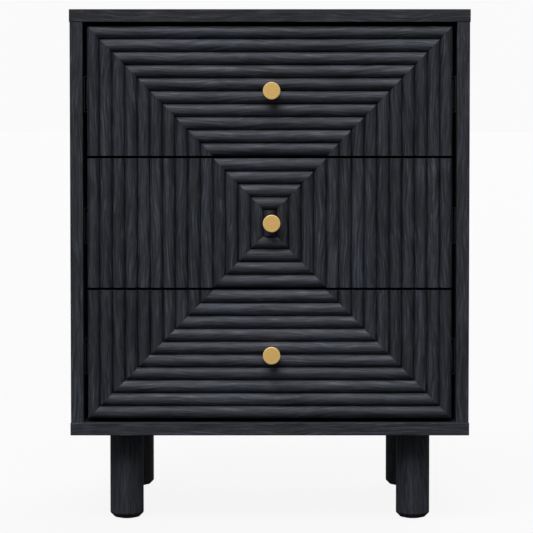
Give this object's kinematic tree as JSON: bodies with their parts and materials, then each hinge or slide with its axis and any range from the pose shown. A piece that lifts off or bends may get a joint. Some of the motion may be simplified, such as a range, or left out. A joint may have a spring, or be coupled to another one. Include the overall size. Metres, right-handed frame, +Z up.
{
  "type": "nightstand with drawers",
  "caption": "Black oak bedside cabinet with inset drawers faced in nested mitred reeds, small round brass knobs and short round legs; drawers open on telescopic runners.",
  "frame": {"origin": "on the floor, under the middle of the whole nightstand's outline with its knobs", "axes": "+Z up; the drawers open towards -Y; +X is to the right as seen from the front"},
  "size_m": [0.5, 0.4136, 0.6455],
  "materials": {
    "black_oak": "black-stained oak grain, satin",
    "dark_board": "charcoal laminated board, matt",
    "dark_hardboard": "charcoal painted hardboard, matt",
    "satin_brass": "satin champagne brass, turned",
    "black_steel": "black electro-coated runner steel, satin",
    "zinc_steel": "bright zinc plated",
    "black_plastic": "matt",
    "beech": "plain fluted beech"
  },
  "bodies": {
    "cabinet": {"top_panel": "black_oak", "bottom_panel": "black_oak", "left_side_panel": "black_oak", "right_side_panel": "black_oak", "back_panel": "dark_hardboard", "cam_locks": "zinc_steel", "cam_bolts": "zinc_steel", "dowels": "beech", "cabinet_runners": "black_steel", "cabinet_runner_screws": "zinc_steel", "front_left_leg": "black_oak", "front_right_leg": "black_oak", "rear_left_leg": "black_oak", "rear_right_leg": "black_oak", "foot_glides": "black_plastic", "leg_bolts": "zinc_steel", "insert_nuts": "zinc_steel"},
    "top_drawer": {"top_drawer_front": "black_oak", "top_level_reeds": "black_oak", "top_upright_reeds": "black_oak", "top_drawer_left_side": "dark_board", "top_drawer_right_side": "dark_board", "top_drawer_back": "dark_board", "top_drawer_floor": "dark_hardboard", "top_drawer_screws": "zinc_steel", "top_knob": "satin_brass", "top_knob_screw": "zinc_steel", "top_drawer_runners": "black_steel"},
    "top_intermediate": {"top_intermediate_runners": "black_steel"},
    "top_outer_cages": {"top_outer_ball_cages": "zinc_steel"},
    "top_inner_cages": {"top_inner_ball_cages": "zinc_steel"},
    "middle_drawer": {"middle_drawer_front": "black_oak", "middle_level_reeds": "black_oak", "middle_upright_reeds": "black_oak", "middle_drawer_left_side": "dark_board", "middle_drawer_right_side": "dark_board", "middle_drawer_back": "dark_board", "middle_drawer_floor": "dark_hardboard", "middle_drawer_screws": "zinc_steel", "middle_knob": "satin_brass", "middle_knob_screw": "zinc_steel", "middle_drawer_runners": "black_steel"},
    "middle_intermediate": {"middle_intermediate_runners": "black_steel"},
    "middle_outer_cages": {"middle_outer_ball_cages": "zinc_steel"},
    "middle_inner_cages": {"middle_inner_ball_cages": "zinc_steel"},
    "bottom_drawer": {"bottom_drawer_front": "black_oak", "bottom_level_reeds": "black_oak", "bottom_upright_reeds": "black_oak", "bottom_drawer_left_side": "dark_board", "bottom_drawer_right_side": "dark_board", "bottom_drawer_back": "dark_board", "bottom_drawer_floor": "dark_hardboard", "bottom_drawer_screws": "zinc_steel", "bottom_knob": "satin_brass", "bottom_knob_screw": "zinc_steel", "bottom_drawer_runners": "black_steel"},
    "bottom_intermediate": {"bottom_intermediate_runners": "black_steel"},
    "bottom_outer_cages": {"bottom_outer_ball_cages": "zinc_steel"},
    "bottom_inner_cages": {"bottom_inner_ball_cages": "zinc_steel"}
  },
  "joints": [
    {"name": "top_drawer_slide", "type": "slide", "parent": "cabinet", "child": "top_drawer", "axis": [0, -1, 0], "range_m": [0, 0.35]},
    {"name": "top_intermediate_slide", "type": "slide", "parent": "cabinet", "child": "top_intermediate", "axis": [0, -1, 0], "range_m": [0, 0.175]},
    {"name": "top_outer_cage_roll", "type": "slide", "parent": "cabinet", "child": "top_outer_cages", "axis": [0, -1, 0], "range_m": [0, 0.0875]},
    {"name": "top_inner_cage_roll", "type": "slide", "parent": "cabinet", "child": "top_inner_cages", "axis": [0, -1, 0], "range_m": [0, 0.2625]},
    {"name": "middle_drawer_slide", "type": "slide", "parent": "cabinet", "child": "middle_drawer", "axis": [0, -1, 0], "range_m": [0, 0.35]},
    {"name": "middle_intermediate_slide", "type": "slide", "parent": "cabinet", "child": "middle_intermediate", "axis": [0, -1, 0], "range_m": [0, 0.175]},
    {"name": "middle_outer_cage_roll", "type": "slide", "parent": "cabinet", "child": "middle_outer_cages", "axis": [0, -1, 0], "range_m": [0, 0.0875]},
    {"name": "middle_inner_cage_roll", "type": "slide", "parent": "cabinet", "child": "middle_inner_cages", "axis": [0, -1, 0], "range_m": [0, 0.2625]},
    {"name": "bottom_drawer_slide", "type": "slide", "parent": "cabinet", "child": "bottom_drawer", "axis": [0, -1, 0], "range_m": [0, 0.35]},
    {"name": "bottom_intermediate_slide", "type": "slide", "parent": "cabinet", "child": "bottom_intermediate", "axis": [0, -1, 0], "range_m": [0, 0.175]},
    {"name": "bottom_outer_cage_roll", "type": "slide", "parent": "cabinet", "child": "bottom_outer_cages", "axis": [0, -1, 0], "range_m": [0, 0.0875]},
    {"name": "bottom_inner_cage_roll", "type": "slide", "parent": "cabinet", "child": "bottom_inner_cages", "axis": [0, -1, 0], "range_m": [0, 0.2625]}
  ],
  "couplings": [
    {"joint": "top_intermediate_slide", "follows": "top_drawer_slide", "ratio": 0.5},
    {"joint": "top_outer_cage_roll", "follows": "top_drawer_slide", "ratio": 0.25},
    {"joint": "top_inner_cage_roll", "follows": "top_drawer_slide", "ratio": 0.75},
    {"joint": "middle_intermediate_slide", "follows": "middle_drawer_slide", "ratio": 0.5},
    {"joint": "middle_outer_cage_roll", "follows": "middle_drawer_slide", "ratio": 0.25},
    {"joint": "middle_inner_cage_roll", "follows": "middle_drawer_slide", "ratio": 0.75},
    {"joint": "bottom_intermediate_slide", "follows": "bottom_drawer_slide", "ratio": 0.5},
    {"joint": "bottom_outer_cage_roll", "follows": "bottom_drawer_slide", "ratio": 0.25},
    {"joint": "bottom_inner_cage_roll", "follows": "bottom_drawer_slide", "ratio": 0.75}
  ]
}
